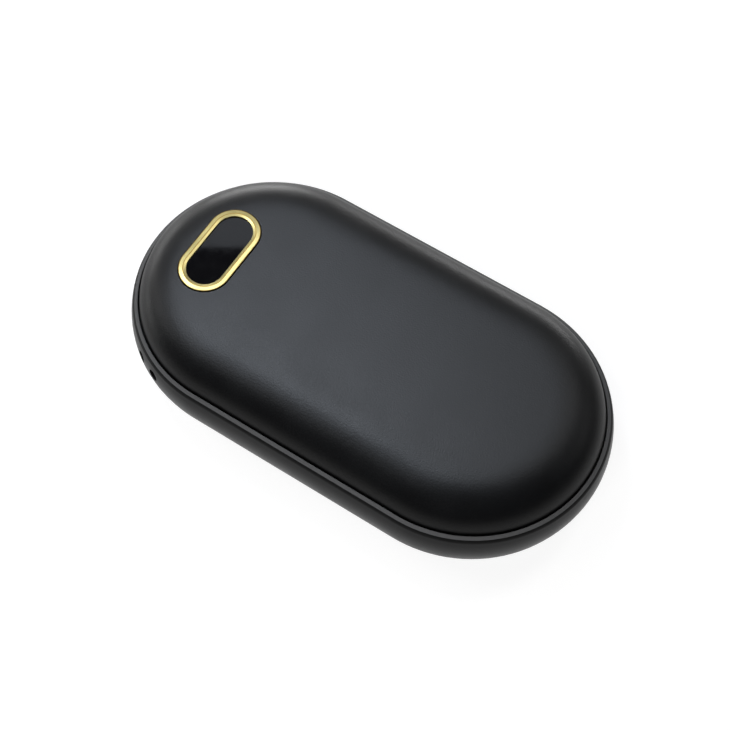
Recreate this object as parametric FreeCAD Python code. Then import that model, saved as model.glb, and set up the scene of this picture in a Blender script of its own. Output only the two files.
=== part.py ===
import FreeCAD, Part
import os
from FreeCAD import Vector

# A pocket hand warmer: two drawn aluminium covers on a moulded band, with a display at the -X end.
# Millimetres, +Z up. The origin is on the resting face, under the middle of the body.
# Everything that runs round the body follows a pill outline: a straight spine along X with round ends.

# Body
edge_half_width = 30.0        # half width and end radius of the band at its sharp ledge edges
spine_half = 25.35            # distance of each end centre from the middle
frame_height = 9.2            # between the two ledge edges
dome_height = 7.5             # crown of a cover above the ledge edge
wall_bulge = 0.75             # how far the band swells at mid height
ledge_width = 1.15
ledge_rise = 0.85             # the ledge slopes up towards the cover
edge_fillet = 1.1
lip_fillet = 0.15

# Covers
cover_wall = 0.9
cover_gap = 0.3               # shadow line between ledge and cover
crown_half_width = 15.0       # flat top of a cover, as a pill of this half width
rim_handle_share = 0.8        # fullness of the rolled edge, at its foot and towards the crown
crown_handle_shares = (0.52, 0.45)
skirt_depth = 0.8             # skirt foot below the ledge edge

# Seals under the skirts, and the ribs that carry them
seal_thickness = 0.4
rib_width = 1.6
rib_depth = 1.8
rib_straight_shares = (-0.36, 0.0, 0.36, 1.0)
rib_right_angles = (-60.0, -30.0, 0.0, 30.0, 60.0)
rib_left_angles = (105.0, 125.0, 168.0, 192.0, 215.0)

# Strap holes
strap_hole_radius = 1.4
strap_level = 3.3             # hole centres below the upper ledge edge
strap_angles = (248.5, 238.5)
strap_block_margin = 7.5      # degrees of block past each hole
strap_pocket_margin = 3.0
strap_pocket_depth = 2.3
strap_block_wall = 0.9

# Display
display_reach = 12.85         # display centre beyond the end centre
bezel_half_width = 5.82
bezel_spine_half = 5.33
bezel_border = 1.62
bezel_edge_rise = 0.22
bezel_crest_rise = 0.4
bezel_crest_share = 0.62
bezel_crest_fillet = 0.12
bezel_fit = 0.25              # shadow line round the bezel
bezel_bond = 0.1              # adhesive between its flange and the cover
bezel_flange = 1.2
bezel_flange_thickness = 0.8
bezel_flange_drop = 1.1       # flange top below the crown
bezel_wall = 0.85
lens_recess = 0.35            # lens face below the bezel's inner edge
lens_fit = 0.1
lens_flange_thickness = 0.9
lip_thickness = 0.9           # bezel lip that holds the lens flange
gasket_thickness = 0.5
gasket_border = 1.3
module_length = 20.0
module_width = 10.0
module_height = 5.5
module_corner = 0.8
digit_pitch = 7.6
digit_length = 5.6
digit_width = 3.6
segment_width = 0.7
segment_gap = 0.12            # web between the ends of two bars
segment_depth = 0.6
display_board_margin = 0.6
display_board_thickness = 1.0
header_length = 14.0
header_width = 2.5
header_height = 2.5
header_pins = 6
pin_side = 0.64

# Charging socket
usb_width = 8.94
usb_height = 3.26
usb_length = 7.35
usb_wall = 0.31
usb_recess = 0.5              # socket mouth inside the band's skin
usb_fit = 0.18
tongue_width = 6.69
tongue_thickness = 0.7
tongue_recess = 0.55          # tongue tip behind the socket's mouth
tongue_base = 1.6
tongue_fit = 0.05

# Board
board_thickness = 1.0
board_clearance = 0.5         # to the frame's ribs and to the strap block
board_gap = 0.8               # to the battery basin
chip_side = 5.0
chip_height = 0.85
chip_along = 9.0              # components stand beside the header, this far along it from its middle
component_gap = 0.6           # to the header
inductor_side = 6.0
inductor_height = 3.0
inductor_corner = 1.4
inductor_along = -9.0
capacitor_length = 3.2
capacitor_width = 1.6
capacitor_height = 1.6
capacitors_along = (-3.9, 0.0, 3.9, 13.7)

# Power key and its switch
key_angle = 150.0
key_length = 9.0
key_height = 3.6
key_proud = 0.3
key_fit = 0.2
key_edge_fillet = 0.25
key_lip = 0.8                 # retaining flange round the key
key_flange_thickness = 0.9
key_flange_gap = 0.15
key_travel = 0.35
key_stem_radius = 1.2
switch_width = 6.0
switch_depth = 3.5
switch_height = 3.2
plunger_width = 2.6
plunger_height = 1.4
plunger_reach = 1.1           # plunger out of the switch at rest
plunger_engagement = 0.8
plunger_fit = 0.15

# Battery and its tray
battery_shift = 7.0           # battery centre towards the plain end
cell_length = 54.0
cell_width = 34.0
cell_thickness = 7.6
cell_corner = 3.0
cell_roll = 2.0               # rolled edges of the pouch
tape_thickness = 0.3
cell_clearance = 0.3
tray_wall = 1.2
tray_floor = 1.2
tray_plate = 2.5
tray_clearance = 0.4
window_length = 18.0          # relief in the tray under the board
window_width = 30.0
window_depth = 1.4
window_corner = 3.0
protection_thickness = 0.8
protection_length = 28.0
protection_height = 5.0
lead_radius = 0.65
lead_bend = 2.0
battery_lead_spread = 10.0
heater_lead_spread = 3.0
lead_slot_margin = 0.6

# Heaters, pads and sensors
film_thickness = 0.25
film_inset = 1.0              # inside the crown's edge
film_gap = 1.2                # to the bezel flange
pad_thickness = 1.8
sensor_radius = 0.8
sensor_length = 3.0
sensor_spread = 6.0

# Screws
screw_radius = 1.0
screw_length = 5.2
screw_head_radius = 1.8
screw_head_height = 1.3
screw_slot_width = 0.5
screw_slot_depth = 0.6
screw_fit = 0.1
boss_radius = 2.3
boss_inset = 4.0              # boss centres in from the frame's inner wall
boss_place = 18.0             # from the middle, at the plain end
boss_gap = 2.0                # to the board, at the display end
board_screw_length = 2.4
board_screw_inset = 3.4
board_screw_margin = 5.3      # in from the board's round edge

overrun = 2.0                 # past a face, for cuts and for joins
level_tolerance = 1e-6

# Levels and radii that follow from the sizes above
lower_edge = dome_height
upper_edge = dome_height + frame_height
mid_level = dome_height + frame_height / 2
crown = upper_edge + dome_height
lip_half_width = edge_half_width - ledge_width
wall_half_width = edge_half_width + wall_bulge
cover_half_width = lip_half_width - cover_gap
skirt_foot = upper_edge - skirt_depth
rib_top = skirt_foot - seal_thickness
rib_height = 2 * (rib_top - mid_level)
rib_inner = lip_half_width - rib_depth
board_top = mid_level - usb_height / 2
board_bottom = board_top - board_thickness
film_outer = crown - cover_wall
film_inner = film_outer - film_thickness
pad_level = cover_wall + film_thickness
basin_bottom = pad_level + pad_thickness
cell_bottom = basin_bottom + tray_floor
tape_bottom = cell_bottom + cell_thickness
upper_cell_bottom = tape_bottom + tape_thickness
upper_cell_top = upper_cell_bottom + cell_thickness
display_x = -(spine_half + display_reach)
bezel_flange_top = crown - bezel_flange_drop
bezel_bottom = bezel_flange_top - bezel_flange_thickness
bezel_inner = bezel_half_width - bezel_border
lens_seat = crown + bezel_edge_rise - lip_thickness
lens_flange_half_width = bezel_half_width - bezel_wall - lens_fit
lens_bottom = lens_seat - lens_flange_thickness
module_top = lens_bottom - gasket_thickness
module_bottom = module_top - module_height
display_board_bottom = module_bottom - display_board_thickness
basin_half_length = cell_length / 2 + cell_clearance + tray_wall
basin_half_width = cell_width / 2 + cell_clearance + tray_wall
basin_left = battery_shift - basin_half_length
room_corner = cell_corner + cell_clearance
board_right = basin_left - board_gap
board_half_width = rib_inner - board_clearance
film_half_width = crown_half_width - film_inset
film_right = spine_half + film_half_width
top_film_left = display_x + bezel_half_width + bezel_flange + film_gap
lead_x = (top_film_left + board_right) / 2
usb_mouth = -(spine_half + wall_half_width - usb_recess)
key_flange_outer = lip_half_width - key_flange_gap
key_flange_inner = key_flange_outer - key_flange_thickness
switch_face = board_half_width - board_clearance
plunger_tip = switch_face + plunger_reach
boss_half_width = lip_half_width - boss_inset
strap_block_inner = lip_half_width - strap_pocket_depth - strap_block_wall
side_angles = (90.0, 270.0)   # outwards on the two straight sides
boss_columns = (board_right + boss_gap + boss_radius, boss_place)
boss_places = [(x, angle) for x in boss_columns for angle in side_angles]

up = Vector(0, 0, 1)
origin = Vector(0, 0, 0)


def point(out, level):
    """A point of a section: distance out from the spine, and height."""
    return Vector(out, 0, level)


def line(a, b):
    return Part.LineSegment(a, b).toShape()


def arc(a, through, b):
    return Part.Arc(a, through, b).toShape()


def outline(points):
    """A flat section from its corner points."""
    return Part.Face(Part.makePolygon(points + points[:1]))


def merged(shapes):
    return shapes[0].multiFuse(shapes[1:]).removeSplitter()


def station(shape, x, angle):
    """Set a shape drawn outwards along +X on the spine at x, turned to the given angle."""
    placed = shape.copy()
    placed.rotate(origin, up, angle)
    placed.translate(Vector(x, 0, 0))
    return placed


def round_pill(section, half):
    """Run a section round a pill whose spine has the given half length."""
    start = section.copy()
    start.rotate(origin, up, -90.0)
    end = start.copy()
    end.translate(Vector(half, 0, 0))
    end = end.revolve(Vector(half, 0, 0), up, 180.0)
    side = start.copy()
    side.translate(Vector(-half, 0, 0))
    side = side.extrude(Vector(2 * half, 0, 0))
    pieces = [end, side]
    for piece in (end, side):
        turned = piece.copy()
        turned.rotate(origin, up, 180.0)
        pieces.append(turned)
    return merged(pieces)


def pill(half, half_width, bottom, top):
    """An upright pill prism along X, on the given spine."""
    right = Vector(half, half_width, bottom)
    far = Vector(half + half_width, 0, bottom)
    low = Vector(half, -half_width, bottom)
    left = Vector(-half, -half_width, bottom)
    near = Vector(-half - half_width, 0, bottom)
    back = Vector(-half, half_width, bottom)
    edges = [arc(right, far, low), line(low, left), arc(left, near, back), line(back, right)]
    return Part.Face(Part.Wire(edges)).extrude(Vector(0, 0, top - bottom))


def pill_between(left, right, half_width, bottom, top):
    """An upright pill prism that reaches from x = left to x = right."""
    half = (right - left) / 2 - half_width
    shape = pill(half, half_width, bottom, top)
    shape.translate(Vector((left + right) / 2, 0, 0))
    return shape


def lying_pill(length, height, start, end):
    """A pill prism along +X from start to end, at mid level; length is its section's size in Y."""
    half = (length - height) / 2
    shape = pill(half, height / 2, start, end)
    shape.rotate(origin, up, 90.0)
    shape.rotate(origin, Vector(0, 1, 0), 90.0)
    shape.translate(Vector(0, 0, mid_level))
    return shape


def block(x_size, y_size, bottom, top):
    """An upright block centred on the origin in plan."""
    corner = Vector(-x_size / 2, -y_size / 2, bottom)
    return Part.makeBox(x_size, y_size, top - bottom, corner)


def upright_edges(shape):
    """The vertical edges of a block."""
    return [edge for edge in shape.Edges if edge.BoundBox.ZLength > shape.BoundBox.ZLength / 2]


def rounded_block(x_size, y_size, bottom, top, corner):
    shape = block(x_size, y_size, bottom, top)
    return shape.makeFillet(corner, upright_edges(shape))


def level_edges(shape, level):
    """Edges that lie flat at a level."""
    found = []
    for edge in shape.Edges:
        box = edge.BoundBox
        if max(abs(box.ZMin - level), abs(box.ZMax - level)) < level_tolerance:
            found.append(edge)
    return found


def moved(shape, x, y=0, z=0):
    placed = shape.copy()
    placed.translate(Vector(x, y, z))
    return placed


def mirrored(shape):
    """The same shape on the other side of the body's mid level."""
    return shape.mirror(Vector(0, 0, mid_level), up)


def ring_sector(inner, outer, bottom, top, first_angle, last_angle):
    """Part of an upright ring about the left end centre."""
    corners = [point(inner, bottom), point(outer, bottom), point(outer, top), point(inner, top)]
    section = outline(corners)
    section.rotate(origin, up, first_angle)
    shape = section.revolve(origin, up, last_angle - first_angle)
    return moved(shape, -spine_half)


def dome(offset, foot):
    """A filled dome over the pill, grown or shrunk from the cover's outer skin."""
    rim = cover_half_width + offset
    top = crown + offset
    roll_width = rim - crown_half_width
    roll_height = top - upper_edge
    poles = [point(rim, upper_edge), point(rim, upper_edge + rim_handle_share * roll_height)]
    poles += [point(crown_half_width + share * roll_width, top) for share in crown_handle_shares]
    roll = Part.BezierCurve()
    roll.setPoles(poles + [point(crown_half_width, top)])
    edges = [
        line(point(0, foot), point(rim, foot)),
        line(point(rim, foot), point(rim, upper_edge)),
        roll.toShape(),
        line(point(crown_half_width, top), point(0, top)),
        line(point(0, top), point(0, foot)),
    ]
    return round_pill(Part.Face(Part.Wire(edges)), spine_half)


def across(shape):
    """Turn a pill drawn along X to lie across the body at the display."""
    return station(shape, display_x, 90.0)


def make_cover_shell():
    return dome(0, skirt_foot).cut(dome(-cover_wall, skirt_foot - overrun))


def make_top_cover(shell):
    hole = across(pill(bezel_spine_half, bezel_half_width + bezel_fit, mid_level, crown + overrun))
    return shell.cut(hole)


def make_band():
    """The frame's convex wall with its two sloping ledges."""
    lip_top = upper_edge + ledge_rise
    lip_bottom = lower_edge - ledge_rise
    top_edge = point(edge_half_width, upper_edge)
    bottom_edge = point(edge_half_width, lower_edge)
    edges = [
        line(point(lip_half_width, lip_top), top_edge),
        arc(top_edge, point(wall_half_width, mid_level), bottom_edge),
        line(bottom_edge, point(lip_half_width, lip_bottom)),
        line(point(lip_half_width, lip_bottom), point(lip_half_width, lip_top)),
    ]
    band = round_pill(Part.Face(Part.Wire(edges)), spine_half)
    outer_edges = level_edges(band, upper_edge) + level_edges(band, lower_edge)
    band = band.makeFillet(edge_fillet, outer_edges)
    lips = level_edges(band, lip_top) + level_edges(band, lip_bottom)
    return band.makeFillet(lip_fillet, lips)


def make_ribs():
    """Upright ribs inside the band, whose ends carry the cover seals."""
    size = lip_half_width + ledge_width / 2 - rib_inner
    corner = Vector(rib_inner, -rib_width / 2, mid_level - rib_height / 2)
    rib = Part.makeBox(size, rib_width, rib_height, corner)
    ribs = []
    for share in rib_straight_shares:
        ribs += [station(rib, share * spine_half, angle) for angle in side_angles]
    ribs += [station(rib, spine_half, angle) for angle in rib_right_angles]
    ribs += [station(rib, -spine_half, angle) for angle in rib_left_angles]
    return ribs


def make_bosses():
    """Screw posts on the band, with webs to its wall, that the tray is drawn up against."""
    height = rib_top - board_bottom
    post = Part.makeCylinder(boss_radius, height, Vector(boss_half_width, 0, board_bottom))
    web_length = lip_half_width + ledge_width / 2 - boss_half_width
    web_corner = Vector(boss_half_width, -boss_radius, board_bottom)
    web = Part.makeBox(web_length, 2 * boss_radius, height, web_corner)
    hole_radius = screw_radius + screw_fit
    hole = Part.makeCylinder(hole_radius, screw_length, Vector(boss_half_width, 0, board_bottom))
    boss = merged([post, web]).cut(hole)
    return [station(boss, x, angle) for x, angle in boss_places]


def make_mid_frame():
    strap_height = upper_edge - strap_level
    pocket_inner = strap_block_inner + strap_block_wall
    first = min(strap_angles)
    last = max(strap_angles)
    strap_block = ring_sector(strap_block_inner, lip_half_width + ledge_width / 2,
                              board_bottom, rib_top,
                              first - strap_block_margin, last + strap_block_margin)
    strap_pocket = ring_sector(pocket_inner, lip_half_width, board_bottom - overrun,
                               strap_height + strap_hole_radius,
                               first - strap_pocket_margin, last + strap_pocket_margin)
    frame = merged([make_band(), strap_block.cut(strap_pocket)] + make_ribs() + make_bosses())
    hole_length = strap_pocket_depth + wall_half_width - lip_half_width + overrun
    strap_hole = Part.makeCylinder(strap_hole_radius, hole_length,
                                   Vector(pocket_inner, 0, strap_height), Vector(1, 0, 0))
    cuts = [station(strap_hole, -spine_half, angle) for angle in strap_angles]
    usb_opening = lying_pill(usb_width + 2 * usb_fit, usb_height + 2 * usb_fit,
                             board_half_width, wall_half_width + overrun)
    cuts.append(station(usb_opening, -spine_half, 180.0))
    key_opening = lying_pill(key_length + 2 * key_fit, key_height + 2 * key_fit,
                             board_half_width, wall_half_width + overrun)
    cuts.append(station(key_opening, -spine_half, key_angle))
    return frame.cut(cuts)


def make_seal():
    """A bonding ring on the ribs, from the skirt's inside out to the band's wall."""
    outer = pill(spine_half, lip_half_width, rib_top, skirt_foot)
    return outer.cut(pill(spine_half, cover_half_width - cover_wall, rib_top, skirt_foot))


def make_display_bezel():
    outer = bezel_half_width
    edge = crown + bezel_edge_rise
    pocket = outer - bezel_wall
    neck = round_pill(outline([
        point(outer, bezel_bottom),
        point(outer, edge),
        point(outer - bezel_crest_share * bezel_border, crown + bezel_crest_rise),
        point(bezel_inner, edge),
        point(bezel_inner, lens_seat),
        point(pocket, lens_seat),
        point(pocket, bezel_bottom),
    ]), bezel_spine_half)
    neck = neck.makeFillet(bezel_crest_fillet, level_edges(neck, crown + bezel_crest_rise))
    flange = pill(bezel_spine_half, outer + bezel_flange, bezel_bottom, bezel_flange_top)
    flange = flange.cut(pill(bezel_spine_half, (pocket + outer) / 2, bezel_bottom, bezel_flange_top))
    flange = across(flange).common(dome(-cover_wall - bezel_bond, mid_level))
    return merged([across(neck), flange])


def make_display_lens():
    pad = bezel_inner - lens_fit
    face = crown + bezel_edge_rise - lens_recess
    section = outline([
        point(0, lens_bottom),
        point(lens_flange_half_width, lens_bottom),
        point(lens_flange_half_width, lens_seat),
        point(pad, lens_seat),
        point(pad, face),
        point(0, face),
    ])
    return across(round_pill(section, bezel_spine_half))


def make_lens_gasket():
    outer = pill(bezel_spine_half, lens_flange_half_width, module_top, lens_bottom)
    inner = pill(bezel_spine_half, lens_flange_half_width - gasket_border, module_top, lens_bottom)
    return across(outer.cut(inner))


def make_digit():
    """The seven bars of one figure, upright in plan, as cuts in the module's face."""
    bottom = module_top - segment_depth
    top = module_top + overrun
    half_bar = (digit_length - segment_width) / 2
    level_bar = block(digit_width - 2 * (segment_width + segment_gap), segment_width, bottom, top)
    upright_bar = block(segment_width, half_bar - segment_width - 2 * segment_gap, bottom, top)
    bars = [moved(level_bar, 0, row * half_bar) for row in (-1, 0, 1)]
    side = (digit_width - segment_width) / 2
    bars += [moved(upright_bar, column * side, row * half_bar / 2) for column in (-1, 1) for row in (-1, 1)]
    return bars


def make_display_module():
    body = rounded_block(module_length, module_width, module_bottom, module_top, module_corner)
    cuts = [moved(bar, place * digit_pitch / 2) for place in (-1, 1) for bar in make_digit()]
    return across(body.cut(cuts))


def make_display_board():
    length = module_length + 2 * display_board_margin
    width = module_width + 2 * display_board_margin
    return across(rounded_block(length, width, display_board_bottom, module_bottom, module_corner))


def make_display_header():
    base = block(header_length, header_width, board_top, board_top + header_height)
    pin = block(pin_side, pin_side, board_top, display_board_bottom)
    pitch = header_length / header_pins
    first = (pitch - header_length) / 2
    pins = [moved(pin, first + index * pitch) for index in range(header_pins)]
    return across(merged([base] + pins))


def board_screw_places():
    spread = board_half_width - board_screw_margin
    return [(board_right - board_screw_inset, side * spread) for side in (-1, 1)]


def beside_header(shape, length, along):
    """Set a component of that length next to the header, on the battery's side."""
    return moved(shape, display_x + header_width / 2 + component_gap + length / 2, along)


def make_main_board():
    plan = pill(spine_half, board_half_width, board_bottom, board_top)
    reach = spine_half + board_half_width + overrun
    corner = Vector(-reach, -reach, board_bottom)
    board = plan.common(Part.makeBox(reach + board_right, 2 * reach, board_thickness, corner))
    notch_margin = 2 * strap_block_margin
    cuts = [ring_sector(strap_block_inner - board_clearance, lip_half_width, board_bottom, board_top,
                        min(strap_angles) - notch_margin, max(strap_angles) + notch_margin)]
    for x, y in board_screw_places():
        place = Vector(x, y, board_bottom)
        cuts.append(Part.makeCylinder(screw_radius + screw_fit, board_thickness, place))
    return board.cut(cuts)


def make_control_chip():
    chip = block(chip_side, chip_side, board_top, board_top + chip_height)
    return beside_header(chip, chip_side, chip_along)


def make_boost_inductor():
    top = board_top + inductor_height
    shape = rounded_block(inductor_side, inductor_side, board_top, top, inductor_corner)
    return beside_header(shape, inductor_side, inductor_along)


def make_board_capacitors():
    capacitor = block(capacitor_width, capacitor_length, board_top, board_top + capacitor_height)
    placed = [beside_header(capacitor, capacitor_width, along) for along in capacitors_along]
    return Part.makeCompound(placed)


def make_usb_shell():
    end = usb_mouth + usb_length
    outer = lying_pill(usb_width, usb_height, usb_mouth, end)
    return outer.cut(lying_pill(usb_width - 2 * usb_wall, usb_height - 2 * usb_wall, usb_mouth, end))


def make_usb_tongue():
    back = usb_mouth + usb_length
    front = back - tongue_base
    inset = 2 * (usb_wall + tongue_fit)
    base = lying_pill(usb_width - inset, usb_height - inset, front, back)
    tip = usb_mouth + tongue_recess
    corner = Vector(tip, -tongue_width / 2, mid_level - tongue_thickness / 2)
    return merged([base, Part.makeBox(front - tip, tongue_width, tongue_thickness, corner)])


def make_key_skin():
    """The band's skin at an end, grown by the key's height above it, as a filled half round."""
    bottom = point(0, lower_edge)
    low = point(edge_half_width + key_proud, lower_edge)
    swell = point(wall_half_width + key_proud, mid_level)
    high = point(edge_half_width + key_proud, upper_edge)
    top = point(0, upper_edge)
    edges = [line(bottom, low), arc(low, swell, high), line(high, top), line(top, bottom)]
    section = Part.Face(Part.Wire(edges))
    section.rotate(origin, up, -90.0)
    return section.revolve(origin, up, 180.0)


def make_power_button():
    key = lying_pill(key_length, key_height, key_flange_inner, wall_half_width + overrun)
    key = key.common(make_key_skin())
    face_edges = [edge for edge in key.Edges if edge.BoundBox.XMin > lip_half_width]
    key = key.makeFillet(key_edge_fillet, face_edges)
    flange = lying_pill(key_length + 2 * key_lip, key_height + 2 * key_lip,
                        board_half_width, wall_half_width)
    hoop = Part.makeCylinder(key_flange_outer, frame_height, Vector(0, 0, lower_edge))
    hoop = hoop.cut(Part.makeCylinder(key_flange_inner, frame_height, Vector(0, 0, lower_edge)))
    stem = Part.makeCylinder(key_stem_radius, key_flange_outer - plunger_tip,
                             Vector(plunger_tip, 0, mid_level), Vector(1, 0, 0))
    return station(merged([key, flange.common(hoop), stem]), -spine_half, key_angle)


def plunger_block(start, end, margin):
    width = plunger_width + 2 * margin
    height = plunger_height + 2 * margin
    return Part.makeBox(end - start, width, height, Vector(start, -width / 2, mid_level - height / 2))


def make_switch_body():
    body = Part.makeBox(switch_depth, switch_width, switch_height,
                        Vector(switch_face - switch_depth, -switch_width / 2, board_top))
    bore_end = switch_face - plunger_engagement - key_travel - plunger_fit
    bore = plunger_block(bore_end, switch_face, plunger_fit)
    return station(body.cut(bore), -spine_half, key_angle)


def make_switch_plunger():
    plunger = plunger_block(switch_face - plunger_engagement, plunger_tip, 0)
    return station(plunger, -spine_half, key_angle)


def make_battery_tray():
    """A plate under the frame's bosses, with a basin for the cells and a relief under the board."""
    plate_bottom = board_bottom - tray_plate
    plate = pill(spine_half, rib_inner - tray_clearance, plate_bottom, board_bottom)
    basin = rounded_block(2 * basin_half_length, 2 * basin_half_width, basin_bottom, board_bottom,
                          room_corner + tray_wall)
    room = rounded_block(2 * (basin_half_length - tray_wall), 2 * (basin_half_width - tray_wall),
                         cell_bottom, board_bottom, room_corner)
    window = rounded_block(window_length, window_width, board_bottom - window_depth, board_bottom,
                           window_corner)
    slot_width = 2 * (lead_radius + lead_slot_margin)
    slot = block(slot_width, 2 * heater_lead_spread + slot_width, plate_bottom, board_bottom)
    cuts = [moved(room, battery_shift), moved(window, display_x), moved(slot, lead_x)]
    head_room = screw_head_radius + screw_fit
    screw_place = Vector(boss_half_width, 0, plate_bottom)
    shank = Part.makeCylinder(screw_radius + screw_fit, tray_plate, screw_place)
    seat = Part.makeCylinder(head_room, screw_head_height, screw_place)
    for x, angle in boss_places:
        cuts.append(station(shank, x, angle))
        cuts.append(station(seat, x, angle))
    for x, y in board_screw_places():
        depth = board_screw_length - board_thickness
        cuts.append(Part.makeCylinder(screw_radius + screw_fit, depth, Vector(x, y, board_bottom - depth)))
    return merged([plate, moved(basin, battery_shift)]).cut(cuts)


def make_cell(bottom):
    """A pouch cell with rolled edges."""
    top = bottom + cell_thickness
    cell = rounded_block(cell_length, cell_width, bottom, top, cell_corner)
    cell = cell.makeFillet(cell_roll, level_edges(cell, bottom) + level_edges(cell, top))
    return moved(cell, battery_shift)


def make_cell_tape():
    length = cell_length - 2 * cell_roll
    width = cell_width - 2 * cell_roll
    return moved(block(length, width, tape_bottom, upper_cell_bottom), battery_shift)


def make_protection_board():
    middle = upper_cell_bottom + cell_thickness / 2
    shape = block(protection_thickness, protection_length,
                  middle - protection_height / 2, middle + protection_height / 2)
    return moved(shape, battery_shift - cell_length / 2 - protection_thickness / 2)


def make_battery_lead(y):
    """From the protection board out over the basin's wall, then down to the main board."""
    level = upper_cell_bottom + cell_thickness / 2
    start = Vector(battery_shift - cell_length / 2 - protection_thickness, y, level)
    bend_start = Vector(lead_x + lead_bend, y, level)
    bend_end = Vector(lead_x, y, level - lead_bend)
    centre = Vector(lead_x + lead_bend, y, level - lead_bend)
    bend_middle = centre + Vector(-1, 0, 1).normalize() * lead_bend
    end = Vector(lead_x, y, board_top)
    path = Part.Wire([line(start, bend_start), arc(bend_start, bend_middle, bend_end), line(bend_end, end)])
    ring = Part.Wire(Part.makeCircle(lead_radius, start, Vector(-1, 0, 0)))
    return path.makePipeShell([ring], True, False)


def make_heater_leads(bottom, top):
    lead = Part.makeCylinder(lead_radius, top - bottom, Vector(lead_x, 0, bottom))
    return Part.makeCompound([moved(lead, 0, side * heater_lead_spread) for side in (-1, 1)])


def make_sensor(level):
    """A bead that lies across the body on a heater."""
    return Part.makeCylinder(sensor_radius, sensor_length,
                             Vector(lead_x, sensor_spread - sensor_length / 2, level), Vector(0, 1, 0))


def make_screw(length):
    """A slotted screw, head down at level 0, shank up."""
    head = Part.makeCylinder(screw_head_radius, screw_head_height)
    slot = block(2 * screw_head_radius, screw_slot_width, 0, screw_slot_depth)
    shank = Part.makeCylinder(screw_radius, length, Vector(0, 0, screw_head_height))
    return merged([head.cut(slot), shank])


def make_tray_screws():
    screw = moved(make_screw(screw_length), boss_half_width, 0, board_bottom - tray_plate)
    return Part.makeCompound([station(screw, x, angle) for x, angle in boss_places])


def make_board_screws():
    screw = make_screw(board_screw_length)
    screw.rotate(origin, Vector(1, 0, 0), 180.0)
    level = board_top + screw_head_height
    return Part.makeCompound([moved(screw, x, y, level) for x, y in board_screw_places()])


def make_parts():
    shell = make_cover_shell()
    seal = make_seal()
    return {
        "top_cover": make_top_cover(shell),
        "bottom_cover": mirrored(shell),
        "mid_frame": make_mid_frame(),
        "top_seal": seal,
        "bottom_seal": mirrored(seal),
        "display_bezel": make_display_bezel(),
        "display_lens": make_display_lens(),
        "lens_gasket": make_lens_gasket(),
        "display_module": make_display_module(),
        "display_board": make_display_board(),
        "display_header": make_display_header(),
        "main_board": make_main_board(),
        "control_chip": make_control_chip(),
        "boost_inductor": make_boost_inductor(),
        "board_capacitors": make_board_capacitors(),
        "usb_shell": make_usb_shell(),
        "usb_tongue": make_usb_tongue(),
        "power_button": make_power_button(),
        "switch_body": make_switch_body(),
        "switch_plunger": make_switch_plunger(),
        "battery_tray": make_battery_tray(),
        "lower_cell": make_cell(cell_bottom),
        "upper_cell": make_cell(upper_cell_bottom),
        "cell_tape": make_cell_tape(),
        "protection_board": make_protection_board(),
        "positive_lead": make_battery_lead(battery_lead_spread),
        "negative_lead": make_battery_lead(-battery_lead_spread),
        "top_heater": pill_between(top_film_left, film_right, film_half_width, film_inner, film_outer),
        "bottom_heater": pill_between(-film_right, film_right, film_half_width, cover_wall, pad_level),
        "top_pad": pill_between(basin_left, film_right, film_half_width, upper_cell_top, film_inner),
        "bottom_pad": pill_between(basin_left, film_right, film_half_width, pad_level, basin_bottom),
        "top_heater_leads": make_heater_leads(board_top, film_inner),
        "bottom_heater_leads": make_heater_leads(pad_level, board_bottom),
        "top_thermistor": make_sensor(film_inner - sensor_radius),
        "bottom_thermistor": make_sensor(pad_level + sensor_radius),
        "tray_screws": make_tray_screws(),
        "board_screws": make_board_screws(),
    }


os.makedirs("parts", exist_ok=True)
for node, shape in make_parts().items():
    shape.exportStep("parts/" + node + ".step")
    print(node, len(shape.Solids), round(shape.Volume, 1), shape.isValid())
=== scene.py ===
import math

import bmesh
import bpy
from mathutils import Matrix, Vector


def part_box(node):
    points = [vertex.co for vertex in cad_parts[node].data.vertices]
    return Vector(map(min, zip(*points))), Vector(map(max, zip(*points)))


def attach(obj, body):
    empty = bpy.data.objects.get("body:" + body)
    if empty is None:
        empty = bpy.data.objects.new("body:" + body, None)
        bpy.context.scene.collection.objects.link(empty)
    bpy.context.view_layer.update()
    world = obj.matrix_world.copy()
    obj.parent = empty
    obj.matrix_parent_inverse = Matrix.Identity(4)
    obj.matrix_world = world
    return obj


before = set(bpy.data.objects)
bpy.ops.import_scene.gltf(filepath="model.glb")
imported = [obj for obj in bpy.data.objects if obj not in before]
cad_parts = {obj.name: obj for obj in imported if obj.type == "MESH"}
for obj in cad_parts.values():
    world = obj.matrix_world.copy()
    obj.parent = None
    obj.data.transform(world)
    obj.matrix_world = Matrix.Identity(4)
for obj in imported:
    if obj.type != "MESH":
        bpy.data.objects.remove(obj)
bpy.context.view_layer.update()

# Metres, in the frame of the solids: the origin is on the resting face, +Z is up, and the display is at
# the -X end.

# Camera: angles in degrees, focal length and sensor width in millimetres
camera_place = (0.08654, -0.13483, 0.31304)
camera_azimuth = 32.936
camera_elevation = 62.098
camera_focal_length = 77.59
camera_sensor = 36.0
camera_near = 0.01

# Stage
floor_radius = 7.0
floor_drop = 0.0001
floor_segments = 96
floor_shade = 0.32            # share of the lamps' light that the floor gives back
floor_glow = 0.82             # what makes it white, apart from the shadow
floor_roughness = 1.0
floor_specular = 0.0

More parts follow.
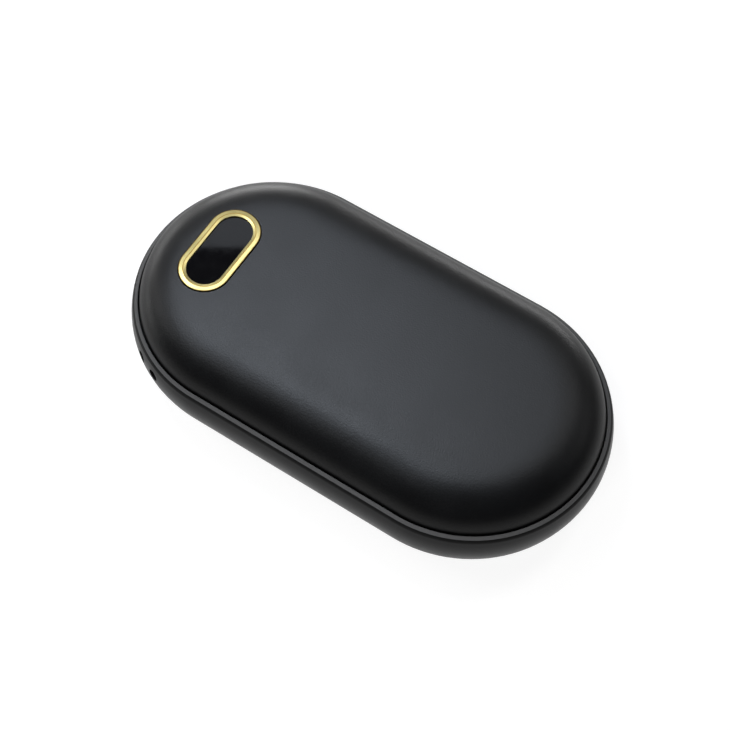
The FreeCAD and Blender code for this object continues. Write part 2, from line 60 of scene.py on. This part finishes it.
# Lamps: elevation, azimuth from +Y towards +X, size across and down, power, colour.
# They all stand at one distance from the body's middle and point at it.
lamp_target = (0.0, 0.0, 0.012)
lamp_distance = 1.1
cool = (0.86, 0.915, 1.0)
cooler = (0.78, 0.87, 1.0)
plain_white = (1.0, 1.0, 1.0)
lamps = {
    "left_softbox": (66.0, -52.0, 0.15, 0.15, 3.8, cooler),
    "middle_softbox": (66.0, -40.0, 0.12, 0.12, 3.9, cool),
    "side_softbox": (57.0, -67.0, 0.2, 0.2, 2.4, cool),
    "low_softbox": (60.0, -93.0, 0.25, 0.25, 2.8, cool),
    "right_softbox": (64.0, 10.0, 0.2, 0.2, 0.7, plain_white),
    "front_softbox": (64.0, 240.0, 0.35, 0.35, 0.8, plain_white),
    "lens_panel": (52.0, -33.0, 0.45, 0.2, 0.27, cool),
    "left_panel": (34.0, -100.0, 0.45, 0.35, 2.4, plain_white),
    "right_panel": (54.0, 14.0, 0.3, 0.3, 1.25, plain_white),
    "back_panel": (16.0, -40.0, 0.5, 0.25, 0.9, plain_white),
    "end_strip": (4.0, -105.0, 0.5, 0.2, 2.0, plain_white),
    "left_strip": (4.0, -75.0, 0.5, 0.2, 3.5, plain_white),
    "back_strip": (4.0, -40.0, 0.5, 0.2, 6.6, plain_white),
    "right_strip": (4.0, -5.0, 0.5, 0.2, 3.9, plain_white),
    "far_panel": (35.0, 45.0, 0.5, 0.4, 1.0, plain_white),
    "front_fill": (45.0, 165.0, 0.6, 0.6, 5.7, plain_white),
}
# Cards only show in the glossy faces, and the fill only lights the dull ones.
cards = (
    "left_softbox", "middle_softbox", "low_softbox", "far_panel",
    "end_strip", "left_strip", "back_strip", "right_strip",
)
fills = ("front_fill",)

# Room: the light of its walls and ceiling, and how high the walls reach as the sine of elevation
wall_level = 0.16
ceiling_level = 0.04
wall_reach = 0.6

# Places on the part that the finishes follow
mid_level = 0.0121
crown = 2 * mid_level
spine_half = 0.02535          # of the body's pill outline
ledge_inner = 0.02885         # distances out from the spine
ledge_outer = 0.0296
ledge_level = 0.0047          # heights above and below the mid level
corner_low = 0.0042
corner_high = 0.0049
roll_foot = 0.0074
roll_top = 0.0101
display_x = -0.0382
ring_spine_half = 0.00533     # of the display's pill outline
ring_crest = 0.00482          # distances out from that spine
ring_outer = 0.00582
cover_edge = 0.00607
ring_wall_top = 0.02436
key_place = (-0.05196, 0.01536, mid_level)

# Widths of the marks on the finishes
soft_edge = 0.0001
crest_line = 0.00007
corner_fade = 0.0002
worn_rim_depth = 0.0003
worn_rim_fade = 0.0002
scuff_size = 0.0008
key_worn_radius = 0.0035
trace_spacing = 0.0028
track_spacing = 0.0021
fleck_spacing = 0.0004
crease_spacing = 0.006

# The part of its pattern over which each mark fades, and how strongly the mark covers
scuff_range = (0.5, 0.7)
scuff_cover = 0.6
key_worn_cover = 0.8
trace_range = (0.04, 0.09)
trace_cover = 0.7
track_range = (-0.16, 0.0)
track_cover = 0.85
fleck_range = (0.1, 0.2)
fleck_cover = 0.6
crease_range = (0.01, 0.03)
crease_cover = 0.4

# Finishes, by the slot of the solids that wears them. Colours and polish are given for the darkest and
# smoothest places and for the lightest and roughest, the patches and the grain by size, and the grain
# also by depth and stretch.
patch_detail = 3.0
patch_range = (0.3, 0.7)
grain_detail = 2.0
polish_range = (0.1, 0.45)
unstretched = (1.0, 1.0, 1.0)
usual_specular = 0.5
finishes = {
    "cover_metal": {
        "name": "matt_black_coat",
        "colours": ((0.003, 0.0031, 0.0035), (0.0045, 0.0047, 0.0052)), "polish": (0.38, 0.42),
        "patch": 0.012, "grain": 0.00035, "depth": 0.000025, "specular": 0.15,
    },
    "frame_plastic": {
        "name": "moulded_black",
        "colours": ((0.006, 0.006, 0.0063), (0.009, 0.009, 0.0094)), "polish": (0.33, 0.43),
        "patch": 0.006, "grain": 0.00022, "depth": 0.000005, "specular": 0.11,
    },
    "gold_plate": {
        "name": "gold_plate",
        "colours": ((0.375, 0.312, 0.126), (0.425, 0.355, 0.148)), "polish": (0.32, 0.38),
        "patch": 0.004, "grain": 0.00015, "depth": 0.0000001, "metal": 0.92,
    },
    "smoked_lens": {
        "name": "smoked_lens",
        "colours": ((0.003, 0.003, 0.004), (0.0045, 0.0045, 0.0055)), "polish": (0.02, 0.05),
        "patch": 0.003, "grain": 0.0004, "depth": 0.0000001,
    },
    "seal_foam": {
        "name": "closed_cell_foam",
        "colours": ((0.008, 0.008, 0.008), (0.02, 0.02, 0.02)), "polish": (0.8, 0.95),
        "patch": 0.002, "grain": 0.00025, "depth": 0.00004, "specular": 0.2,
    },
    "module_plastic": {
        "name": "white_reflector",
        "colours": ((0.66, 0.65, 0.61), (0.76, 0.75, 0.72)), "polish": (0.35, 0.5),
        "patch": 0.004, "grain": 0.0003, "depth": 0.000004,
    },
    "board": {
        "name": "solder_mask",
        "colours": ((0.012, 0.09, 0.035), (0.018, 0.13, 0.05)), "polish": (0.25, 0.4),
        "patch": 0.005, "grain": 0.0004, "depth": 0.000006,
    },
    "component": {
        "name": "moulded_epoxy",
        "colours": ((0.012, 0.012, 0.013), (0.022, 0.022, 0.024)), "polish": (0.5, 0.7),
        "patch": 0.001, "grain": 0.00012, "depth": 0.000006,
    },
    "ferrite": {
        "name": "pressed_ferrite",
        "colours": ((0.05, 0.05, 0.054), (0.085, 0.085, 0.09)), "polish": (0.5, 0.7),
        "patch": 0.0012, "grain": 0.0002, "depth": 0.00001,
    },
    "chip_ceramic": {
        "name": "fired_ceramic",
        "colours": ((0.33, 0.22, 0.12), (0.42, 0.3, 0.18)), "polish": (0.45, 0.6),
        "patch": 0.0008, "grain": 0.0001, "depth": 0.000003,
    },
    "socket_steel": {
        "name": "drawn_steel",
        "colours": ((0.5, 0.5, 0.52), (0.62, 0.62, 0.64)), "polish": (0.22, 0.38),
        "patch": 0.003, "grain": 0.00012, "depth": 0.000003, "stretch": (0.08, 1.0, 1.0), "metal": 1.0,
    },
    "key_plastic": {
        "name": "satin_key",
        "colours": ((0.008, 0.008, 0.0083), (0.011, 0.011, 0.0115)), "polish": (0.36, 0.5),
        "patch": 0.002, "grain": 0.00018, "depth": 0.000004, "specular": 0.2,
    },
    "plunger_plastic": {
        "name": "white_moulding",
        "colours": ((0.62, 0.6, 0.55), (0.7, 0.68, 0.63)), "polish": (0.3, 0.45),
        "patch": 0.001, "grain": 0.0002, "depth": 0.000003,
    },
    "tray_plastic": {
        "name": "filled_moulding",
        "colours": ((0.02, 0.02, 0.022), (0.038, 0.038, 0.041)), "polish": (0.45, 0.65),
        "patch": 0.008, "grain": 0.0005, "depth": 0.00001, "stretch": (0.3, 1.0, 1.0),
    },
    "cell_pouch": {
        "name": "laminated_foil",
        "colours": ((0.6, 0.6, 0.62), (0.72, 0.72, 0.74)), "polish": (0.28, 0.45),
        "patch": 0.006, "grain": 0.0025, "depth": 0.00006, "metal": 1.0,
    },
    "tape": {
        "name": "backing_tape",
        "colours": ((0.6, 0.58, 0.5), (0.7, 0.68, 0.6)), "polish": (0.6, 0.8),
        "patch": 0.003, "grain": 0.0003, "depth": 0.00001, "stretch": (0.2, 1.0, 1.0),
    },
    "red_lead": {
        "name": "red_silicone",
        "colours": ((0.4, 0.012, 0.012), (0.5, 0.02, 0.02)), "polish": (0.35, 0.5),
        "patch": 0.002, "grain": 0.0002, "depth": 0.000004,
    },
    "black_lead": {
        "name": "black_silicone",
        "colours": ((0.01, 0.01, 0.01), (0.018, 0.018, 0.018)), "polish": (0.35, 0.5),
        "patch": 0.002, "grain": 0.0002, "depth": 0.000004,
    },
    "white_lead": {
        "name": "white_silicone",
        "colours": ((0.66, 0.66, 0.64), (0.75, 0.75, 0.74)), "polish": (0.35, 0.5),
        "patch": 0.002, "grain": 0.0002, "depth": 0.000004,
    },
    "heater_film": {
        "name": "amber_film",
        "colours": ((0.4, 0.16, 0.02), (0.5, 0.22, 0.03)), "polish": (0.2, 0.35),
        "patch": 0.006, "grain": 0.0006, "depth": 0.000004,
    },
    "pad_felt": {
        "name": "pressed_felt",
        "colours": ((0.6, 0.6, 0.57), (0.75, 0.75, 0.72)), "polish": (0.85, 0.98),
        "patch": 0.002, "grain": 0.0003, "depth": 0.00006, "stretch": (0.25, 1.0, 1.0), "specular": 0.1,
    },
    "sensor_bead": {
        "name": "dipped_epoxy",
        "colours": ((0.012, 0.012, 0.014), (0.02, 0.02, 0.024)), "polish": (0.1, 0.25),
        "patch": 0.001, "grain": 0.0004, "depth": 0.000006,
    },
    "screw_steel": {
        "name": "zinc_plate",
        "colours": ((0.5, 0.5, 0.5), (0.63, 0.63, 0.62)), "polish": (0.25, 0.42),
        "patch": 0.001, "grain": 0.00015, "depth": 0.000003, "metal": 1.0,
    },
}

# Contacts of the charging socket
contact_count = 12
contact_pitch = 0.0005
contact_width = 0.0003
contact_length = 0.0037
contact_thickness = 0.00004
contact_setback = 0.0006      # behind the tongue's tip
contact_tip_segments = 8
blade_half = 0.00035          # half the thickness of the tongue's blade


def add(tree, kind, inputs, **settings):
    """A new node; each input is a value or the socket that feeds it."""
    made = tree.nodes.new(kind)
    for key, value in settings.items():
        setattr(made, key, value)
    for key, value in inputs.items():
        if isinstance(value, bpy.types.NodeSocket):
            tree.links.new(value, made.inputs[key])
        else:
            made.inputs[key].default_value = value
    return made


def place(tree):
    """Where a point is on the part, in metres."""
    for made in tree.nodes:
        if made.bl_idname == "ShaderNodeTexCoord":
            return made.outputs["Object"]
    return add(tree, "ShaderNodeTexCoord", {}).outputs["Object"]


def coordinate(tree, axis):
    """One of the point's three coordinates."""
    return add(tree, "ShaderNodeSeparateXYZ", {"Vector": place(tree)}).outputs[axis]


def noise(tree, size, detail=grain_detail, stretch=unstretched):
    """Soft noise whose features are about the given size."""
    scaled = add(tree, "ShaderNodeVectorMath", {0: place(tree), 1: stretch}, operation="MULTIPLY")
    inputs = {"Vector": scaled.outputs["Vector"], "Scale": 1 / size, "Detail": detail}
    return add(tree, "ShaderNodeTexNoise", inputs).outputs["Fac"]


def cells(tree, size, feature):
    """Distances in a pattern of cells, as shares of the given size."""
    inputs = {"Vector": place(tree), "Scale": 1 / size}
    return add(tree, "ShaderNodeTexVoronoi", inputs, feature=feature).outputs["Distance"]


def between(tree, value, start, end, low, high):
    """Carry a value from one range into another, with soft ends."""
    inputs = {"Value": value, "From Min": start, "From Max": end, "To Min": low, "To Max": high}
    made = add(tree, "ShaderNodeMapRange", inputs, interpolation_type="SMOOTHSTEP")
    return made.outputs["Result"]


def combined(tree, operation, first, second=0.0):
    """The result of a sum on one or two values."""
    return add(tree, "ShaderNodeMath", {0: first, 1: second}, operation=operation).outputs["Value"]


def both(tree, first, second):
    """Where two marks overlap."""
    return combined(tree, "MULTIPLY", first, second)


def mixed(tree, share, first, second):
    """A colour between two others."""
    made = tree.nodes.new("ShaderNodeMix")
    made.data_type = "RGBA"
    tree.links.new(share, made.inputs["Factor"])
    for socket, colour in (("A", first), ("B", second)):
        target = [item for item in made.inputs if item.name == socket and item.type == "RGBA"][0]
        if isinstance(colour, bpy.types.NodeSocket):
            tree.links.new(colour, target)
        else:
            target.default_value = (*colour, 1.0)
    return [item for item in made.outputs if item.type == "RGBA"][0]


def within(tree, value, low, high, fade):
    """1 where a value lies between two others, falling to 0 over the fade."""
    off = combined(tree, "ABSOLUTE", combined(tree, "SUBTRACT", value, (low + high) / 2))
    reach = (high - low) / 2
    return between(tree, off, reach, reach + fade, 1.0, 0.0)


def from_spine(tree, along, across, half):
    """Distance in plan from a straight spine of that half length."""
    beyond = combined(tree, "SUBTRACT", combined(tree, "ABSOLUTE", along), half)
    beyond = combined(tree, "MAXIMUM", beyond, 0.0)
    plan = add(tree, "ShaderNodeCombineXYZ", {"X": beyond, "Y": across}).outputs["Vector"]
    return add(tree, "ShaderNodeVectorMath", {0: plan}, operation="LENGTH").outputs["Value"]


def out_from_body(tree):
    """Distance in plan from the spine of the body."""
    return from_spine(tree, coordinate(tree, "X"), coordinate(tree, "Y"), spine_half)


def out_from_display(tree):
    """Distance in plan from the spine of the display, which lies along Y."""
    across = combined(tree, "SUBTRACT", coordinate(tree, "X"), display_x)
    return from_spine(tree, coordinate(tree, "Y"), across, ring_spine_half)


def off_mid_level(tree):
    """Height above or below the middle, so that a mark serves both halves of the body."""
    return combined(tree, "ABSOLUTE", combined(tree, "SUBTRACT", coordinate(tree, "Z"), mid_level))


def bump(tree, height, depth):
    """Relief of the given depth."""
    inputs = {"Height": height, "Distance": depth, "Strength": 1.0}
    return add(tree, "ShaderNodeBump", inputs).outputs["Normal"]


def new_material(name):
    """An empty material with its shader."""
    material = bpy.data.materials.new(name)
    material.use_nodes = True
    tree = material.node_tree
    return material, tree, tree.nodes["Principled BSDF"]


def feed(tree, shader, **inputs):
    """Set the shader's sockets; the names have underscores for spaces."""
    for key, value in inputs.items():
        socket = shader.inputs[key.replace("_", " ")]
        if isinstance(value, bpy.types.NodeSocket):
            tree.links.new(value, socket)
        else:
            socket.default_value = value


def surface(name, colours, polish, patch, grain, depth, stretch=unstretched, metal=0.0,
            specular=usual_specular, marks=()):
    """A material with patchy colour and polish over a fine grain, and marks on top."""
    material, tree, shader = new_material(name)
    patches = noise(tree, patch, patch_detail)
    fine = noise(tree, grain, grain_detail, stretch)
    colour = mixed(tree, between(tree, patches, *patch_range, 0.0, 1.0), *colours)
    rough = between(tree, combined(tree, "MULTIPLY", patches, fine), *polish_range, *polish)
    for where, mark_colour, mark_rough in marks:
        share = where(tree)
        colour = mixed(tree, share, colour, mark_colour)
        rough = between(tree, share, 0.0, 1.0, rough, mark_rough)
    feed(
        tree,
        shader,
        Base_Color=colour,
        Roughness=rough,
        Metallic=metal,
        Specular_IOR_Level=specular,
        Normal=bump(tree, fine, depth),
    )
    return material


def on_ledge(tree):
    """The two sloping ledges of the band, with their fine spark texture."""
    out = within(tree, out_from_body(tree), ledge_inner, ledge_outer, soft_edge)
    level = between(tree, off_mid_level(tree), ledge_level, ledge_level + soft_edge, 0.0, 1.0)
    return both(tree, out, level)


def on_corner(tree):
    """The rounded corners outside the ledges, where the band is duller and painted a little darker as
    shade.
    """
    out = between(tree, out_from_body(tree), ledge_outer, ledge_outer + soft_edge, 0.0, 1.0)
    return both(tree, out, within(tree, off_mid_level(tree), corner_low, corner_high, corner_fade))


def on_lower_roll(tree):
    """The rolled edge of a cover, where the coat is duller and its colour is painted darker as shade."""
    return between(tree, off_mid_level(tree), roll_foot, roll_top, 1.0, 0.0)


def on_worn_rim(tree):
    """Scuffs in the coat where it ends at the display."""
    rim = within(tree, out_from_display(tree), cover_edge, cover_edge + soft_edge, worn_rim_fade)
    high = between(tree, coordinate(tree, "Z"), crown - worn_rim_depth, crown, 0.0, 1.0)
    broken = between(tree, noise(tree, scuff_size), *scuff_range, 0.0, scuff_cover)
    return both(tree, both(tree, rim, high), broken)


def on_crest(tree):
    """The thin line along the crest of the ring, painted dark as the crest's reflection."""
    out = out_from_display(tree)
    return within(tree, out, ring_crest - crest_line, ring_crest + crest_line, crest_line)


def on_ring_edge_shade(tree):
    """The ring's top outer edge, painted dark as the shadow of the gap and the edge's dark reflection."""
    inner = ring_outer - 2 * soft_edge
    return between(tree, out_from_display(tree), inner, inner + soft_edge, 0.0, 1.0)


def on_ring_wall_shade(tree):
    """The ring's outer wall down in the gap around it, painted dark as the shadow in that gap."""
    out = between(tree, out_from_display(tree), ring_outer - soft_edge, ring_outer, 0.0, 1.0)
    low = between(tree, coordinate(tree, "Z"), ring_wall_top, ring_wall_top + soft_edge, 1.0, 0.0)
    return both(tree, out, low)


def on_touched_key(tree):
    """The middle of the key's face, polished by use."""
    offset = add(tree, "ShaderNodeVectorMath", {0: place(tree), 1: key_place}, operation="DISTANCE")
    return between(tree, offset.outputs["Value"], 0.0, key_worn_radius, key_worn_cover, 0.0)


def on_traces(tree):
    """Copper runs under the solder mask."""
    return between(tree, cells(tree, trace_spacing, "DISTANCE_TO_EDGE"), *trace_range, trace_cover, 0.0)


def on_heater_track(tree):
    """The resistance track of a film heater, in close rows."""
    turns = combined(tree, "MULTIPLY", coordinate(tree, "Y"), 2 * math.pi / track_spacing)
    return between(tree, combined(tree, "SINE", turns), *track_range, 0.0, track_cover)


def on_flecks(tree):
    """Small bright flecks."""
    return between(tree, cells(tree, fleck_spacing, "F1"), *fleck_range, fleck_cover, 0.0)


def on_creases(tree):
    """Fine creases in foil, drawn as darker lines of painted shade."""
    return between(tree, cells(tree, crease_spacing, "DISTANCE_TO_EDGE"), *crease_range, crease_cover, 0.0)


# Marks on the finishes: where each shows, its colour and its roughness
finish_marks = {
    "cover_metal": (
        # rolled edge: rougher, and its darker colour is painted shade
        (on_lower_roll, (0.002, 0.002, 0.0021), 0.44),
        (on_worn_rim, (0.05, 0.05, 0.052), 0.3),
    ),
    "frame_plastic": (
        (on_ledge, (0.1, 0.1, 0.102), 0.7),
        # corners: duller, and painted a little darker as the shade line under the ledge
        (on_corner, (0.006, 0.006, 0.006), 0.5),
    ),
    "gold_plate": (
        # crest: a painted dark reflection line
        (on_crest, (0.2, 0.13, 0.03), 0.5),
        # outer edge of the ring: painted shade for the dark outline at the gap
        (on_ring_edge_shade, (0.15, 0.095, 0.02), 0.5),
        # outer wall of the ring: painted shadow in the gap around it
        (on_ring_wall_shade, (0.012, 0.01, 0.006), 0.7),
    ),
    "board": ((on_traces, (0.05, 0.2, 0.08), 0.25),),
    "ferrite": ((on_flecks, (0.16, 0.16, 0.17), 0.4),),
    "key_plastic": ((on_touched_key, (0.013, 0.013, 0.0135), 0.28),),
    # creases: painted shade in the folds of the foil
    "cell_pouch": ((on_creases, (0.5, 0.5, 0.52), 0.5),),
    "heater_film": ((on_heater_track, (0.16, 0.07, 0.02), 0.3),),
}
materials = {
    slot: surface(marks=finish_marks.get(slot, ()), **finish) for slot, finish in finishes.items()
}


def dress_nodes():
    """Give every solid the finish of its slot."""
    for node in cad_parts.values():
        for item in node.material_slots:
            item.material = materials[item.material.name.split(".")[0]]


def add_strip(shape, tip, across, middle):
    """One contact strip with a round tip, lying along X."""
    radius = contact_width / 2
    tail = tip + contact_length
    outline = [(tail, across - radius), (tail, across + radius)]
    for step in range(contact_tip_segments + 1):
        turn = math.pi * (0.5 + step / contact_tip_segments)
        outline.append((tip + radius + radius * math.cos(turn), across + radius * math.sin(turn)))
    bottom = middle - contact_thickness / 2
    face = shape.faces.new([shape.verts.new((x, y, bottom)) for x, y in outline])
    raised = bmesh.ops.extrude_face_region(shape, geom=[face])["geom"]
    corners = [item for item in raised if isinstance(item, bmesh.types.BMVert)]
    bmesh.ops.translate(shape, verts=corners, vec=(0.0, 0.0, contact_thickness))


def make_contacts():
    """Plated strips on both faces of the socket's tongue."""
    low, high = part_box("usb_tongue")
    middle = (low[2] + high[2]) / 2
    shape = bmesh.new()
    for side in (-1, 1):
        for index in range(contact_count):
            across = (index - (contact_count - 1) / 2) * contact_pitch
            height = middle + side * (blade_half + contact_thickness / 2)
            add_strip(shape, low[0] + contact_setback, across, height)
    bmesh.ops.recalc_face_normals(shape, faces=shape.faces)
    mesh = bpy.data.meshes.new("usb_contacts")
    shape.to_mesh(mesh)
    shape.free()
    mesh.materials.append(materials["gold_plate"])
    contacts = bpy.data.objects.new("usb_contacts", mesh)
    bpy.context.scene.collection.objects.link(contacts)
    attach(contacts, "casing")


def point_camera():
    """The camera, turned up from looking straight down and then round."""
    data = bpy.data.cameras.new("camera")
    data.sensor_width = camera_sensor
    data.lens = camera_focal_length
    data.clip_start = camera_near
    camera = bpy.data.objects.new("camera", data)
    bpy.context.scene.collection.objects.link(camera)
    camera.location = camera_place
    camera.rotation_euler = (math.radians(90.0 - camera_elevation), 0.0, math.radians(camera_azimuth))
    bpy.context.scene.camera = camera


def make_floor():
    """A pale floor that shows white, apart from the shadow on it."""
    material, tree, shader = new_material("floor_paper")
    seen = add(tree, "ShaderNodeLightPath", {})
    shown = combined(tree, "MAXIMUM", seen.outputs["Is Camera Ray"], seen.outputs["Is Glossy Ray"])
    shown = combined(tree, "MAXIMUM", shown, seen.outputs["Is Transmission Ray"])
    feed(
        tree,
        shader,
        Base_Color=(floor_shade, floor_shade, floor_shade, 1.0),
        Roughness=floor_roughness,
        Specular_IOR_Level=floor_specular,
        Emission_Color=(*plain_white, 1.0),
        Emission_Strength=combined(tree, "MULTIPLY", shown, floor_glow),
    )
    mesh = bpy.data.meshes.new("floor")
    shape = bmesh.new()
    bmesh.ops.create_circle(shape, cap_ends=True, radius=floor_radius, segments=floor_segments)
    shape.to_mesh(mesh)
    shape.free()
    mesh.materials.append(material)
    floor = bpy.data.objects.new("floor", mesh)
    floor.location.z = -floor_drop
    bpy.context.scene.collection.objects.link(floor)


def make_lamps():
    """The lamps of the table, each turned to the body."""
    for name, (elevation, azimuth, wide, tall, power, colour) in lamps.items():
        data = bpy.data.lights.new(name, "AREA")
        data.shape = "RECTANGLE"
        data.size = wide
        data.size_y = tall
        data.energy = power
        data.color = colour
        lamp = bpy.data.objects.new(name, data)
        level = math.cos(math.radians(elevation))
        out = Vector((
            level * math.sin(math.radians(azimuth)),
            level * math.cos(math.radians(azimuth)),
            math.sin(math.radians(elevation)),
        ))
        lamp.location = Vector(lamp_target) + lamp_distance * out
        lamp.rotation_euler = (-out).to_track_quat("-Z", "Y").to_euler()
        lamp.visible_diffuse = name not in cards
        lamp.visible_glossy = name not in fills
        bpy.context.scene.collection.objects.link(lamp)


def make_world():
    """A dim room whose walls are lighter than its ceiling."""
    world = bpy.data.worlds.new("room")
    world.use_nodes = True
    tree = world.node_tree
    shade = tree.nodes["Background"]
    shade.inputs["Color"].default_value = (*plain_white, 1.0)
    direction = add(tree, "ShaderNodeTexCoord", {}).outputs["Generated"]
    height = add(tree, "ShaderNodeSeparateXYZ", {"Vector": direction}).outputs["Z"]
    level = between(tree, height, 0.0, wall_reach, wall_level, ceiling_level)
    tree.links.new(level, shade.inputs["Strength"])
    bpy.context.scene.world = world


bpy.context.scene.view_settings.view_transform = "Standard"
point_camera()
make_world()
make_floor()
make_lamps()
dress_nodes()
make_contacts()
